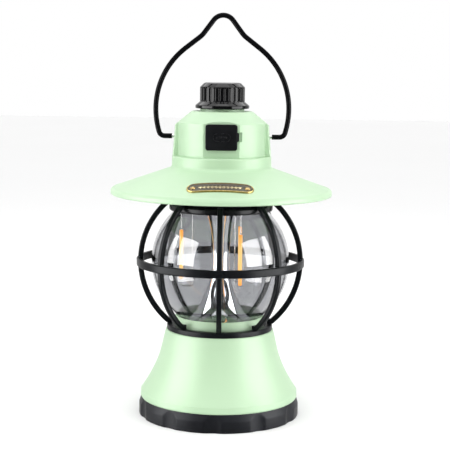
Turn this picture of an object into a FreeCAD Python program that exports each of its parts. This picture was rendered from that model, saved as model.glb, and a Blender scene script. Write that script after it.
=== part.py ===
"""Camping lantern: flared base, clear globe in a wire cage, brimmed hood, dimmer knob and wire bail.

Frame: +Z up, origin at the middle of the foot's underside, front (port cover, nameplate) towards -Y.
All sizes in millimetres. Each function makes one sub-part, and nodes() at the end lists what is written.
"""
import FreeCAD
import Part
import math
import os

V = FreeCAD.Vector
X_AXIS = V(1, 0, 0)
Y_AXIS = V(0, 1, 0)
Z_AXIS = V(0, 0, 1)
ORIGIN = V(0, 0, 0)

# ---- driving dimensions -------------------------------------------------------------------------
WALL = 2.2                      # moulded shell thickness

FOOT_R = 51.2                   # rubber foot, over the vertical band
FOOT_BEVEL_R = 49.8             # top of the wide bevel
FOOT_BEVEL_Z = 7.4              # where the bevel starts
FOOT_TOP = 11.6                 # where the base shell stands on the foot
FOOT_INNER_R = 45.0
SCALLOPS = 11                   # finger scoops round the foot
SCALLOP_R = 14.6
SCALLOP_DEPTH = 1.3

DECK_Z = 55.5                   # deck that the collar and the cage stand on
DECK_R = 34.4
DECK_HOLE_R = 26.0

COVER_BOTTOM = 1.2              # bottom cover, recessed in the foot
COVER_TOP = 3.6
POST_R = 3.2                    # screw posts in the base
POST_CIRCLE_R = 37.0
POST_TOP = 34.0

GLOBE_Z = 98.7                  # centre of globe and cage
GLOBE_R = 43.9
GLASS = 2.0
GLOBE_FOOT_R = 26.5             # lower neck, outside
GLOBE_FOOT_Z = 60.0
GLOBE_NECK_R = 28.2             # upper neck, outside
GLOBE_NECK_Z = 134.2

COLLAR_R = 28.5
COLLAR_TOP = 64.4
COLLAR_FLOOR = 58.9

RIBS = 8
RIB_PATH_R = 50.9               # centre line of a rib
RIB_WIDE = 3.3                  # round the lantern
RIB_DEEP = 3.4                  # towards the globe
RIB_END_DEG = 50.0
CAGE_RING_R = 33.7
CAGE_RING_HOLE_R = 29.7
CAGE_RING_HIGH = 3.3
EQUATOR_OUT_R = 53.4
EQUATOR_IN_R = 50.9
EQUATOR_HIGH = 5.0

CAP_R = 32.8                    # black cap that holds the globe's top
CAP_BOTTOM = 131.6
CAP_FLOOR = 135.0
CAP_SHOULDER = 136.8
CAP_TOP = 157.3
CAP_TUBE_R = 29.5

CARRIER_Z = 130.3               # underside of the filament carrier
CARRIER_R = 25.5
FILAMENTS = 3
FILAMENT_CIRCLE_R = 25.0
RETURN_CIRCLE_R = 17.9
FILAMENT_LOW = 86.0
FILAMENT_HIGH = 119.5
FILAMENT_R = 1.15
LEAD_R = 0.35
U_BEND_Z = 82.3
FIRST_FILAMENT_DEG = 180.0      # one filament at -X, the others at 120 degree steps

BRIM_R = 69.9
BRIM_EDGE_R = 67.2              # where the cone rolls over into the rim
BRIM_EDGE_Z = 146.2
BRIM_ROOT_R = 33.6
BRIM_ROOT_Z = 158.1
BRIM_RIM_BOTTOM = 141.7
BRIM_THICK = 2.1
HOOD_R = 31.3                   # plain ring between the brim and the neck
LEDGE_Z = 166.2
HOOD_FLOOR = 157.3
HOOD_FLOOR_TOP = 159.6
SKIRT_R = 33.9

NECK_R = 28.0
NECK_TOP = 186.9                # crease between neck and cone
PLATEAU_R = 19.1
PLATEAU_Z = 194.2
KNOB_BOSS_R = 13.9              # low boss under the knob
KNOB_BOSS_HOLE_R = 9.0
KNOB_BOSS_Z = 195.7
FACET_Y = 25.7                  # flat face with the ports
EAR_HALF = 6.0                  # ears that carry the bail
EAR_LOW_R = 31.1
EAR_HIGH_R = 29.6
EAR_HIGH_Z = 185.6
PIVOT_Z = 178.2
HOOD_SCREW_R = 22.5
HOOD_SCREWS_DEG = (90.0, 210.0, 330.0)

BAIL_R = 1.6                    # wire
BAIL_END_X = 31.4               # ends of the wire, clear of the ears
BAIL_X = 41.8                   # widest part of the legs, centre line
BAIL_TOP = 258.8                # where the crook's flanks would meet
PIN_R = 1.0                     # pins that the bail turns on
PIN_FIT = 0.05                  # radial clearance of the pins in the wire

KNOB_R = 14.1
KNOB_SKIRT_R = 17.0
KNOB_BOTTOM = 195.9
KNOB_TOP = 212.0
KNOB_FLUTES = 28
SHAFT_R = 3.0

PORT_COVER_X = 9.8              # half width
PORT_COVER_LOW = 171.1
PORT_COVER_HIGH = 187.1
PORT_COVER_BACK = 25.85
PORT_COVER_FACE = 27.6
BOARD_LOW = 177.8
BOARD_HIGH = 179.4

PLATE_X = 20.0                  # nameplate half width
PLATE_IN_Y = 48.6
PLATE_OUT_Y = 59.3
PLATE_THICK = 1.1
RIVET_X = 16.6

CELL_R = 9.1                    # rechargeable cell, 65 mm long
CELL_LONG = 65.0
CELL_Y = 10.0
CELL_Z = 14.5


# ---- helpers ------------------------------------------------------------------------------------
def point(r, z):
    return V(r, 0, z)


def line(a, b):
    return Part.makeLine(point(*a), point(*b))


def arc(a, b, c):
    return Part.Arc(point(*a), point(*b), point(*c)).toShape()


def curve(points):
    """A smooth curve through (r, z) points."""
    spline = Part.BSplineCurve()
    spline.interpolate([point(*p) for p in points])
    return spline.toShape()


def lathe_edges(edges):
    face = Part.Face(Part.Wire(Part.sortEdges(edges)[0]))
    return face.revolve(ORIGIN, Z_AXIS, 360)


def lathe(points):
    """A solid of revolution about Z from a closed (r, z) outline."""
    corners = [point(*p) for p in points]
    face = Part.Face(Part.makePolygon(corners + corners[:1]))
    return face.revolve(ORIGIN, Z_AXIS, 360)


def ring(outer, inner, low, high):
    return lathe([(inner, low), (outer, low), (outer, high), (inner, high)])


def tube(r, low, high, x=0.0, y=0.0):
    return Part.makeCylinder(r, high - low, V(x, y, low))


def box(x0, x1, y0, y1, z0, z1):
    return Part.makeBox(x1 - x0, y1 - y0, z1 - z0, V(x0, y0, z0))


def fuse(shapes):
    whole = shapes[0]
    for shape in shapes[1:]:
        whole = whole.fuse(shape)
    return whole.removeSplitter()


def turned(shape, degrees, axis=Z_AXIS, centre=ORIGIN):
    copy = shape.copy()
    copy.rotate(centre, axis, degrees)
    return copy


def moved(shape, x, y, z):
    copy = shape.copy()
    copy.translate(V(x, y, z))
    return copy


def around(shape, degrees_list):
    return [turned(shape, d) for d in degrees_list]


def polar(r, degrees):
    a = math.radians(degrees)
    return r * math.cos(a), r * math.sin(a)


def largest(shape):
    return max(shape.Solids, key=lambda s: s.Volume)


def filleted(shape, radius, chosen):
    """Rounds the edges that chosen(edge) picks."""
    return shape.makeFillet(radius, [e for e in shape.Edges if chosen(e)])


def swept(points, corner_radii, wire_r):
    """A round wire along straight runs joined by tangent arcs at each inner point."""
    edges, start = [], points[0]
    for before, corner, after, radius in zip(points, points[1:], points[2:], corner_radii):
        into, out = (corner - before).normalize(), (after - corner).normalize()
        half = into.getAngle(out) / 2
        reach = radius * math.tan(half)
        a, b = corner - into * reach, corner + out * reach
        bisector = (out - into).normalize()
        centre = corner + bisector * (radius / math.cos(half))
        middle = centre - bisector * radius
        edges += [Part.makeLine(start, a), Part.Arc(a, middle, b).toShape()]
        start = b
    edges.append(Part.makeLine(start, points[-1]))
    return along(edges, wire_r)


def along(edges, wire_r):
    """A round wire along a path of tangent edges."""
    path = Part.Wire(Part.sortEdges(edges)[0])
    first = path.OrderedEdges[0]
    tangent = first.tangentAt(first.FirstParameter)
    section = Part.Wire(Part.makeCircle(wire_r, path.OrderedVertexes[0].Point, tangent))
    return path.makePipeShell([section], True, False)


def brim_slope():
    """Angle of the brim's cone below the level, in radians."""
    return math.atan2(BRIM_ROOT_Z - BRIM_EDGE_Z, BRIM_EDGE_R - BRIM_ROOT_R)


def cone_z(r):
    """Height of the brim's upper surface at radius r."""
    return BRIM_ROOT_Z - (r - BRIM_ROOT_R) * math.tan(brim_slope())


def post_places():
    return [polar(POST_CIRCLE_R, 45 + 90 * i) for i in range(4)]


def hood_screw_places():
    return [polar(HOOD_SCREW_R, d) for d in HOOD_SCREWS_DEG]


# ---- base ---------------------------------------------------------------------------------------
def foot_ring():
    """Rubber foot with a wide bevel, finger scoops and a lip inside the base shell."""
    body = lathe([
        (FOOT_INNER_R, 0), (FOOT_R - 1.0, 0), (FOOT_R, 1.0), (FOOT_R, FOOT_BEVEL_Z),
        (FOOT_BEVEL_R, FOOT_TOP), (47.8, FOOT_TOP), (47.8, FOOT_TOP + 2.4),
        (46.4, FOOT_TOP + 2.4), (46.4, FOOT_TOP - 2.0), (FOOT_INNER_R, FOOT_TOP - 2.0),
    ])
    scoop = tube(SCALLOP_R, -1, FOOT_TOP + 1, x=FOOT_R - SCALLOP_DEPTH + SCALLOP_R)
    first = -90.0 - 3.1
    for scoop_at in around(scoop, [first + i * 360 / SCALLOPS for i in range(SCALLOPS)]):
        body = body.cut(scoop_at)
    return body


def screw_recess():
    return box(-0.35, 0.35, -1.7, 1.7, 0, 0.9).fuse(box(-1.7, 1.7, -0.35, 0.35, 0, 0.9))


def bottom_cover():
    cover = tube(FOOT_INNER_R - 0.1, COVER_BOTTOM, COVER_TOP)
    groove = ring(30.0, 28.8, COVER_BOTTOM - 1, COVER_BOTTOM + 0.6)
    cover = cover.cut(groove)
    hole = lathe([
        (0, COVER_BOTTOM - 1), (2.95, COVER_BOTTOM - 1), (2.95, COVER_BOTTOM + 0.4),
        (1.6, COVER_BOTTOM + 1.75), (1.6, COVER_TOP + 1), (0, COVER_TOP + 1),
    ])
    for x, y in post_places():
        cover = cover.cut(moved(hole, x, y, 0))
    return cover


def bottom_cover_screws():
    head = COVER_BOTTOM + 0.1
    screw = lathe([
        (0, head), (2.8, head), (2.8, head + 0.25), (1.45, head + 1.6),
        (1.45, 12.0), (0, 13.4),
    ]).cut(moved(screw_recess(), 0, 0, head))
    return Part.makeCompound([moved(screw, x, y, 0) for x, y in post_places()])


def base_shell():
    """Flared shell with a deck on top and four screw posts inside."""
    flare = [(50.05, 15.8), (43.3, 27.0), (38.35, 39.0), (35.45, 51.0), (DECK_R, DECK_Z - 0.5)]
    outer = lathe_edges([
        line((0, FOOT_TOP), (FOOT_BEVEL_R, FOOT_TOP)),
        line((FOOT_BEVEL_R, FOOT_TOP), (50.25, FOOT_TOP + 0.8)),
        line((50.25, FOOT_TOP + 0.8), flare[0]),
        curve(flare),
        line(flare[-1], (DECK_R - 0.4, DECK_Z)),
        line((DECK_R - 0.4, DECK_Z), (0, DECK_Z)),
        line((0, DECK_Z), (0, FOOT_TOP)),
    ])
    inside = [(r - WALL, z - 0.6) for r, z in flare[:-1]] + [(32.6, DECK_Z - WALL)]
    cavity = lathe_edges([
        line((0, FOOT_TOP), (48.6, FOOT_TOP)),
        line((48.6, FOOT_TOP), inside[0]),
        curve(inside),
        line(inside[-1], (0, DECK_Z - WALL)),
        line((0, DECK_Z - WALL), (0, FOOT_TOP)),
    ])
    posts = []
    for x, y in post_places():
        posts.append(tube(POST_R, COVER_TOP, FOOT_TOP, x, y))
        posts.append(tube(POST_R, FOOT_TOP, POST_TOP, x, y).common(outer))
    shell = fuse([outer.cut(cavity)] + posts)
    shell = shell.cut(tube(DECK_HOLE_R, DECK_Z - WALL - 1, DECK_Z + 1))
    for x, y in post_places():
        shell = shell.cut(tube(1.45, COVER_TOP - 1, 14.0, x, y))
    for x, y in cage_screw_places():
        shell = shell.cut(tube(1.2, DECK_Z - WALL - 1, DECK_Z + 1, x, y))
    return largest(shell)


def globe_collar():
    """Cup on the deck that the globe's lower neck stands in."""
    return lathe([
        (4.0, COLLAR_FLOOR - 1.8), (23.9, COLLAR_FLOOR - 1.8), (23.9, 52.0),
        (DECK_HOLE_R - 0.05, 52.0), (DECK_HOLE_R - 0.05, DECK_Z), (COLLAR_R, DECK_Z),
        (COLLAR_R, COLLAR_TOP - 0.5), (COLLAR_R - 0.25, COLLAR_TOP - 0.1),
        (COLLAR_R - 0.6, COLLAR_TOP), (27.9, COLLAR_TOP), (27.0, COLLAR_TOP - 1.1),
        (27.0, COLLAR_FLOOR), (4.0, COLLAR_FLOOR),
    ])


def battery_cell(side):
    """One cell lying along X, with its raised positive button at +X."""
    y, button_long = side * CELL_Y, 1.5
    body = Part.makeCylinder(CELL_R, CELL_LONG - button_long, V(-CELL_LONG / 2, y, CELL_Z), X_AXIS)
    body = filleted(body, 0.6, lambda e: e.Curve.TypeId == "Part::GeomCircle")
    button = Part.makeCylinder(3.0, button_long, V(CELL_LONG / 2 - button_long, y, CELL_Z), X_AXIS)
    return body.fuse(button)


def battery_cradle():
    """Tray with two troughs that rests on the bottom cover."""
    tray = box(-36.0, 36.0, -20.5, 20.5, COVER_TOP, CELL_Z - 1.0)
    end = -CELL_LONG / 2 - 0.2
    for side in (-1, 1):
        start = V(end, side * CELL_Y, CELL_Z)
        tray = tray.cut(Part.makeCylinder(CELL_R + 0.1, -2 * end, start, X_AXIS))
    return tray


def battery_board():
    board = box(-20, 20, -7, 7, CELL_Z + CELL_R + 0.1, CELL_Z + CELL_R + 1.5)
    return filleted(board, 1.5, lambda e: abs(e.tangentAt(e.FirstParameter).z) > 0.9)


def battery_lead(side):
    """Insulated lead from the battery board up through the reflector to the control board."""
    low = CELL_Z + CELL_R + 1.5
    near, far = side * 1.6, side * 6.5
    route = [V(near, 0, BOARD_LOW), V(near, 0, 50.0), V(far, 0, 38.0), V(far, 0, low)]
    return swept(route, [9.0, 9.0], 0.8)


# ---- cage ---------------------------------------------------------------------------------------
def cage_screw_places():
    return [polar(31.0, 22.5 + 90 * i) for i in range(4)]


def cage_ring(low):
    return lathe([
        (CAGE_RING_HOLE_R, low), (CAGE_RING_R, low), (CAGE_RING_R, low + CAGE_RING_HIGH - 0.4),
        (CAGE_RING_R - 0.4, low + CAGE_RING_HIGH), (CAGE_RING_HOLE_R, low + CAGE_RING_HIGH),
    ])


def cage_lower_ring():
    body = cage_ring(DECK_Z)
    for x, y in cage_screw_places():
        body = body.cut(tube(1.1, DECK_Z - 1, DECK_Z + 2.6, x, y))
    return body


def cage_upper_ring():
    middle = (DECK_Z + CAGE_RING_HIGH + CAP_SHOULDER) / 2
    return turned(cage_ring(DECK_Z), 180, X_AXIS, V(0, 0, middle))


def cage_screws():
    """Four small screws from under the deck into the lower ring."""
    head = DECK_Z - WALL
    screw = lathe([
        (0, head - 1.1), (1.2, head - 1.1), (1.5, head - 0.8), (1.5, head),
        (1.1, head), (1.1, DECK_Z + 2.4), (0, DECK_Z + 2.4),
    ])
    return Part.makeCompound([moved(screw, x, y, 0) for x, y in cage_screw_places()])


def cage_equator_ring():
    half = EQUATOR_HIGH / 2
    soft = 0.7
    return lathe([
        (EQUATOR_IN_R, GLOBE_Z - half + soft / 2), (EQUATOR_IN_R + soft / 2, GLOBE_Z - half),
        (EQUATOR_OUT_R - soft, GLOBE_Z - half), (EQUATOR_OUT_R, GLOBE_Z - half + soft),
        (EQUATOR_OUT_R, GLOBE_Z + half - soft), (EQUATOR_OUT_R - soft, GLOBE_Z + half),
        (EQUATOR_IN_R + soft / 2, GLOBE_Z + half), (EQUATOR_IN_R, GLOBE_Z + half - soft / 2),
    ])


def cage_rib(degrees, equator):
    """A curved bar from ring to ring, notched where the equator ring crosses it."""
    half_wide, half_deep = RIB_WIDE / 2, RIB_DEEP / 2
    bar = box(RIB_PATH_R - half_deep, RIB_PATH_R + half_deep, -half_wide, half_wide, -0.5, 0.5)
    bar = filleted(bar, 0.9, lambda e: abs(e.tangentAt(e.FirstParameter).z) > 0.9)
    section = [f for f in bar.Faces if f.normalAt(0, 0).z > 0.9][0]
    section = moved(section, 0, 0, GLOBE_Z - 0.5)
    section.rotate(V(0, 0, GLOBE_Z), Y_AXIS, RIB_END_DEG)
    rib = section.revolve(V(0, 0, GLOBE_Z), V(0, -1, 0), 2 * RIB_END_DEG)
    if rib.ShapeType != "Solid":
        rib = largest(rib)
    floor, ceiling = DECK_Z + CAGE_RING_HIGH, CAP_SHOULDER
    foot = box(30.4, CAGE_RING_R, -half_wide, half_wide, floor, floor + 2.9)
    rib = fuse([rib, foot]).common(box(0, 60, -5, 5, floor, ceiling))
    return turned(largest(rib.cut(equator)), degrees)


# ---- globe and light ----------------------------------------------------------------------------
def on_sphere(radius, r, up):
    """The (r, z) place where a sphere about the globe's centre has radius r."""
    return r, GLOBE_Z + up * math.sqrt(radius ** 2 - r ** 2)


def glass_globe():
    inner = GLOBE_R - GLASS
    foot_out, foot_in = on_sphere(GLOBE_R, GLOBE_FOOT_R, -1), on_sphere(inner, GLOBE_FOOT_R - GLASS, -1)
    neck_out, neck_in = on_sphere(GLOBE_R, GLOBE_NECK_R, 1), on_sphere(inner, GLOBE_NECK_R - GLASS, 1)
    return lathe_edges([
        line((GLOBE_FOOT_R, GLOBE_FOOT_Z), foot_out),
        arc(foot_out, (GLOBE_R, GLOBE_Z), neck_out),
        line(neck_out, (GLOBE_NECK_R, GLOBE_NECK_Z)),
        line((GLOBE_NECK_R, GLOBE_NECK_Z), (GLOBE_NECK_R - GLASS, GLOBE_NECK_Z)),
        line((GLOBE_NECK_R - GLASS, GLOBE_NECK_Z), neck_in),
        arc(neck_in, (inner, GLOBE_Z), foot_in),
        line(foot_in, (GLOBE_FOOT_R - GLASS, GLOBE_FOOT_Z)),
        line((GLOBE_FOOT_R - GLASS, GLOBE_FOOT_Z), (GLOBE_FOOT_R, GLOBE_FOOT_Z)),
    ])


def reflector():
    """Chrome-plated trumpet between the collar and the filament carrier, hollow for the leads."""
    outside = [
        (11.2, CARRIER_Z), (8.0, 120.5), (6.2, 111.0), (5.6, 100.0),
        (6.8, 87.0), (11.0, 75.0), (16.2, 65.4), (21.0, 61.4), (24.0, COLLAR_FLOOR + 1.4),
    ]
    skin = 0.8
    inside = [(r - skin, z) for r, z in outside[:5]]
    inside += [(10.4, 74.2), (15.4, 64.6), (20.4, 60.4), (23.2, COLLAR_FLOOR)]
    return lathe_edges([
        curve(outside), line(outside[-1], (24.0, COLLAR_FLOOR)),
        line((24.0, COLLAR_FLOOR), inside[-1]), curve(inside), line(inside[0], outside[0]),
    ])


def lower_gasket():
    return ring(26.9, 24.6, COLLAR_FLOOR, GLOBE_FOOT_Z)


def upper_gasket():
    return ring(29.6, 26.2, GLOBE_NECK_Z, CAP_FLOOR)


def filament_carrier():
    """White disc under the cap that the filaments hang from."""
    body = lathe([
        (9.0, CARRIER_Z), (CARRIER_R - 0.5, CARRIER_Z), (CARRIER_R, CARRIER_Z + 0.5),
        (CARRIER_R, CAP_FLOOR), (9.0, CAP_FLOOR),
    ])
    groove = ring(22.5, 20.5, CARRIER_Z - 1, CARRIER_Z + 0.6)
    return body.cut(groove)


def filament(index):
    """LED filament: a coated rod with rounded ends."""
    x, y = filament_place(FILAMENT_CIRCLE_R, index)
    rod = tube(FILAMENT_R, FILAMENT_LOW, FILAMENT_HIGH, x, y)
    return filleted(rod, FILAMENT_R * 0.7, lambda e: e.Curve.TypeId == "Part::GeomCircle")


def filament_place(r, index):
    return polar(r, FIRST_FILAMENT_DEG + index * 360 / FILAMENTS)


def filament_leads(index):
    """The wires of one filament: one down from the carrier, one round under it and back up."""
    x, y = filament_place(FILAMENT_CIRCLE_R, index)
    back_x, back_y = filament_place(RETURN_CIRCLE_R, index)
    top = tube(LEAD_R, FILAMENT_HIGH, CARRIER_Z, x, y)
    route = [
        V(x, y, FILAMENT_LOW), V(x, y, U_BEND_Z),
        V(back_x, back_y, U_BEND_Z), V(back_x, back_y, CARRIER_Z),
    ]
    return Part.makeCompound([top, swept(route, [1.8, 1.8], LEAD_R)])


def globe_cap():
    """Black cap over the globe, with a tube that reaches up to the hood's floor."""
    body = lathe([
        (6.0, CAP_FLOOR), (30.3, CAP_FLOOR), (30.3, CAP_BOTTOM), (31.0, CAP_BOTTOM),
        (32.2, CAP_BOTTOM + 0.6), (CAP_R, CAP_BOTTOM + 1.7), (CAP_R, CAP_SHOULDER - 1.9),
        (31.0, CAP_SHOULDER), (CAP_TUBE_R, CAP_SHOULDER), (CAP_TUBE_R, CAP_TOP),
        (18.0, CAP_TOP), (18.0, CAP_TOP - 2.0),
        (CAP_TUBE_R - WALL, CAP_TOP - 2.0), (CAP_TUBE_R - WALL, CAP_SHOULDER + 0.2),
        (6.0, CAP_SHOULDER + 0.2),
    ])
    for x, y in hood_screw_places():
        body = body.cut(tube(1.6, CAP_TOP - 3, CAP_TOP + 1, x, y))
    return body


# ---- hood ---------------------------------------------------------------------------------------
def hood_screws():
    """Three screws up through cap and brim into the neck housing."""
    head = CAP_TOP - 2.0
    screw = lathe([
        (0, head - 1.8), (2.1, head - 1.8), (2.6, head - 1.2), (2.6, head),
        (1.4, head), (1.4, 167.0), (0, 168.2),
    ]).cut(moved(screw_recess(), 0, 0, head - 1.8))
    return Part.makeCompound([moved(screw, x, y, 0) for x, y in hood_screw_places()])


def rivet_frame(shape, side):
    """Moves a shape modelled about Z at the origin to a rivet's place, square to the brim."""
    y = -(PLATE_IN_Y + PLATE_OUT_Y) / 2 + 0.15
    x = side * RIVET_X
    r = math.hypot(x, y)
    leaned = turned(shape, math.degrees(brim_slope()), Y_AXIS)
    leaned = turned(leaned, math.degrees(math.atan2(y, x)))
    return moved(leaned, x, y, cone_z(r))


def rivet_shank():
    return tube(0.8, -BRIM_THICK - 0.4, PLATE_THICK)


def nameplate_rivets():
    head = lathe([
        (0, PLATE_THICK), (1.7, PLATE_THICK), (1.55, PLATE_THICK + 0.4),
        (0.9, PLATE_THICK + 0.75), (0, PLATE_THICK + 0.85),
    ])
    plate = plate_blank()
    rivets = []
    for side in (-1, 1):
        dome = rivet_frame(head, side).cut(plate)
        rivets.append(largest(dome.fuse(rivet_frame(rivet_shank(), side))))
    return Part.makeCompound(rivets)


def plate_blank():
    """The nameplate before drilling: an arched outline cut from a layer on the brim's cone."""
    bow = 0.15                   # how far the long sides curve back towards the axis
    end_x = 15.2
    inner, outer = bow - PLATE_IN_Y, bow - PLATE_OUT_Y
    middle = (inner + outer) / 2
    outline = [
        (-end_x, inner), (0, inner - bow), (end_x, inner), (PLATE_X, middle),
        (end_x, outer), (0, outer - bow), (-end_x, outer), (-PLATE_X, middle), (-end_x, inner),
    ]
    corners = [V(x, y, 0) for x, y in outline]
    arcs = [Part.Arc(*corners[i:i + 3]).toShape() for i in range(0, 8, 2)]
    prism = Part.Face(Part.Wire(arcs)).extrude(V(0, 0, 220))
    near, far = 36.0, BRIM_EDGE_R - 0.5
    lift = PLATE_THICK / math.cos(brim_slope())
    layer = lathe([
        (near, cone_z(near)), (far, cone_z(far)),
        (far, cone_z(far) + lift), (near, cone_z(near) + lift),
    ])
    return largest(layer.common(prism))


def nameplate():
    plate = plate_blank()
    for side in (-1, 1):
        plate = plate.cut(rivet_frame(rivet_shank(), side))
    return plate


def brim():
    """Wide conical brim with a rolled rim, the plain ring above it and a skirt down to the cage."""
    drop = BRIM_THICK / math.cos(brim_slope())
    rim_in = BRIM_R - BRIM_THICK
    edge_in = (BRIM_EDGE_R - 0.6, cone_z(BRIM_EDGE_R - 0.6) - drop)
    root_in = (SKIRT_R + 1.0, cone_z(SKIRT_R + 1.0) - drop)
    skirt_bottom = CAP_SHOULDER + CAGE_RING_HIGH
    sleeve_r = CAP_TUBE_R + 0.2
    body = lathe_edges([
        line((NECK_R + 0.05, LEDGE_Z), (HOOD_R - 0.9, LEDGE_Z)),
        arc((HOOD_R - 0.9, LEDGE_Z), (HOOD_R - 0.26, LEDGE_Z - 0.26), (HOOD_R, LEDGE_Z - 0.9)),
        line((HOOD_R, LEDGE_Z - 0.9), (HOOD_R + 0.1, 160.2)),
        arc((HOOD_R + 0.1, 160.2), (32.05, 158.9), (BRIM_ROOT_R, BRIM_ROOT_Z)),
        line((BRIM_ROOT_R, BRIM_ROOT_Z), (BRIM_EDGE_R, BRIM_EDGE_Z)),
        arc((BRIM_EDGE_R, BRIM_EDGE_Z), (69.35, 145.1), (BRIM_R, 144.0)),
        line((BRIM_R, 144.0), (BRIM_R, BRIM_RIM_BOTTOM + 0.9)),
        arc((BRIM_R, BRIM_RIM_BOTTOM + 0.9), (69.6, 141.95), (BRIM_R - 1.0, BRIM_RIM_BOTTOM)),
        arc((BRIM_R - 1.0, BRIM_RIM_BOTTOM), (68.2, 141.95), (rim_in, BRIM_RIM_BOTTOM + 0.9)),
        line((rim_in, BRIM_RIM_BOTTOM + 0.9), edge_in),
        line(edge_in, root_in),
        line(root_in, (SKIRT_R, root_in[1] - 0.6)),
        line((SKIRT_R, root_in[1] - 0.6), (SKIRT_R, skirt_bottom)),
        line((SKIRT_R, skirt_bottom), (sleeve_r, skirt_bottom)),
        line((sleeve_r, skirt_bottom), (sleeve_r, HOOD_FLOOR)),
        line((sleeve_r, HOOD_FLOOR), (18.0, HOOD_FLOOR)),
        line((18.0, HOOD_FLOOR), (18.0, HOOD_FLOOR_TOP)),
        line((18.0, HOOD_FLOOR_TOP), (NECK_R + 0.05, HOOD_FLOOR_TOP)),
        line((NECK_R + 0.05, HOOD_FLOOR_TOP), (NECK_R + 0.05, LEDGE_Z)),
    ])
    for x, y in hood_screw_places():
        body = body.cut(tube(1.6, HOOD_FLOOR - 1, HOOD_FLOOR_TOP + 1, x, y))
    for side in (-1, 1):
        body = body.cut(rivet_frame(rivet_shank(), side))
    return body


def neck_housing():
    """Round neck with a cone on top, a flat port face in front and an ear each side for the bail."""
    edge = 0.5
    outer = lathe([
        (0, HOOD_FLOOR_TOP), (NECK_R, HOOD_FLOOR_TOP), (NECK_R, NECK_TOP),
        (PLATEAU_R + edge, PLATEAU_Z - edge * 0.8), (PLATEAU_R - edge, PLATEAU_Z),
        (KNOB_BOSS_R, PLATEAU_Z), (KNOB_BOSS_R, KNOB_BOSS_Z - 0.3), (KNOB_BOSS_R - 0.3, KNOB_BOSS_Z),
        (KNOB_BOSS_HOLE_R, KNOB_BOSS_Z), (KNOB_BOSS_HOLE_R, PLATEAU_Z), (0, PLATEAU_Z),
    ])
    outer = outer.cut(box(-40, 40, -40, -FACET_Y, LEDGE_Z, 200))
    envelope = lathe([
        (0, LEDGE_Z), (EAR_LOW_R, LEDGE_Z), (EAR_HIGH_R, EAR_HIGH_Z),
        (PLATEAU_R, PLATEAU_Z), (0, PLATEAU_Z),
    ])
    ear = filleted_ear(box(22, 34, -EAR_HALF, EAR_HALF, LEDGE_Z, 190).common(envelope))
    ears = [ear, turned(ear, 180)]
    cavity = lathe([
        (0, HOOD_FLOOR_TOP - 1), (NECK_R - WALL, HOOD_FLOOR_TOP - 1), (NECK_R - WALL, NECK_TOP - 0.9),
        (PLATEAU_R - 1.0, PLATEAU_Z - 2.0), (0, PLATEAU_Z - 2.0),
    ])
    inner_block = box(-13, 13, -FACET_Y - 1, -FACET_Y + 2.8, HOOD_FLOOR_TOP + 1, 189).common(outer)
    posts = []
    for x, y in hood_screw_places():
        posts.append(tube(3.0, HOOD_FLOOR_TOP, PLATEAU_Z - 1, x, y).common(outer))
    shell = fuse([outer.cut(cavity), inner_block] + [e.cut(cavity) for e in ears] + posts)
    shell = shell.cut(Part.makeCylinder(PIN_R, 80, V(-40, 0, PIVOT_Z), X_AXIS))
    shell = shell.cut(tube(3.6, 180, 200))
    shell = shell.cut(box(-8.3, 8.3, -FACET_Y - 1, -FACET_Y + 1.5, 172.6, 186.0))
    shell = shell.cut(box(-6.7, 6.7, -FACET_Y - 1, -20, BOARD_HIGH - 0.1, 185.1))
    shell = shell.cut(slot_prism(4.6, 1.7, 176.1, -FACET_Y - 1, -20))
    shell = shell.cut(box(9.9, 12.7, -40, -FACET_Y + 1.3, 176.4, 182.4))
    for x, y in hood_screw_places():
        shell = shell.cut(tube(1.4, HOOD_FLOOR_TOP - 1, 168.5, x, y))
    return largest(shell.cut(strap_anchor()))


def filleted_ear(ear):
    """Rounds an ear's two outer upright corners."""
    def outer_corner(e):
        a, b = e.Vertexes[0].Point, e.Vertexes[-1].Point
        upright = abs(a.z - b.z) > 10
        return upright and math.hypot(a.x, a.y) > 28
    return filleted(ear, 0.8, outer_corner)


def slot_prism(half_x, half_z, z, y0, y1):
    """A stadium-shaped bar along Y."""
    middle = box(-half_x + half_z, half_x - half_z, y0, y1, z - half_z, z + half_z)
    reach = half_x - half_z
    ends = [Part.makeCylinder(half_z, y1 - y0, V(x, y0, z), Y_AXIS) for x in (-reach, reach)]
    return fuse([middle] + ends)


# ---- ports and electronics ----------------------------------------------------------------------
def control_board():
    board = box(-12, 12, -FACET_Y + 2.8, 8, BOARD_LOW, BOARD_HIGH)
    return filleted(board, 2.0, lambda e: abs(e.tangentAt(e.FirstParameter).z) > 0.9)


def usb_a_socket():
    """Power outlet: metal shell open to the front, with its tongue inside."""
    front, back = -FACET_Y + 1.4, -FACET_Y + 15.0
    shell = box(-6.5, 6.5, front, back, BOARD_HIGH, 185.0)
    cavity = box(-6.1, 6.1, front - 1, back - 1.0, BOARD_HIGH + 0.4, 184.6)
    tongue = box(-5.5, 5.5, front + 0.8, back - 0.5, 182.3, 184.0)
    return fuse([shell.cut(cavity), tongue])


def usb_c_socket():
    """Charging inlet: flat oval shell under the board."""
    front, back = -FACET_Y + 1.4, -FACET_Y + 8.8
    z = BOARD_LOW - 1.6
    shell = slot_prism(4.47, 1.6, z, front, back)
    cavity = slot_prism(4.17, 1.28, z, front - 1, back - 0.6)
    tongue = box(-3.3, 3.3, front + 0.6, back - 0.3, z - 0.35, z + 0.35)
    return fuse([shell.cut(cavity), tongue])


def dimmer_body():
    """Rotary dimmer: square case under the plateau and a threaded bush through it."""
    case = box(-7.5, 7.5, -6.5, 6.5, 186.2, PLATEAU_Z - 2.0)
    bush = tube(3.5, PLATEAU_Z - 2.0, 198.2)
    return fuse([case, bush]).cut(tube(SHAFT_R + 0.06, 189.0, 200))


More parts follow.
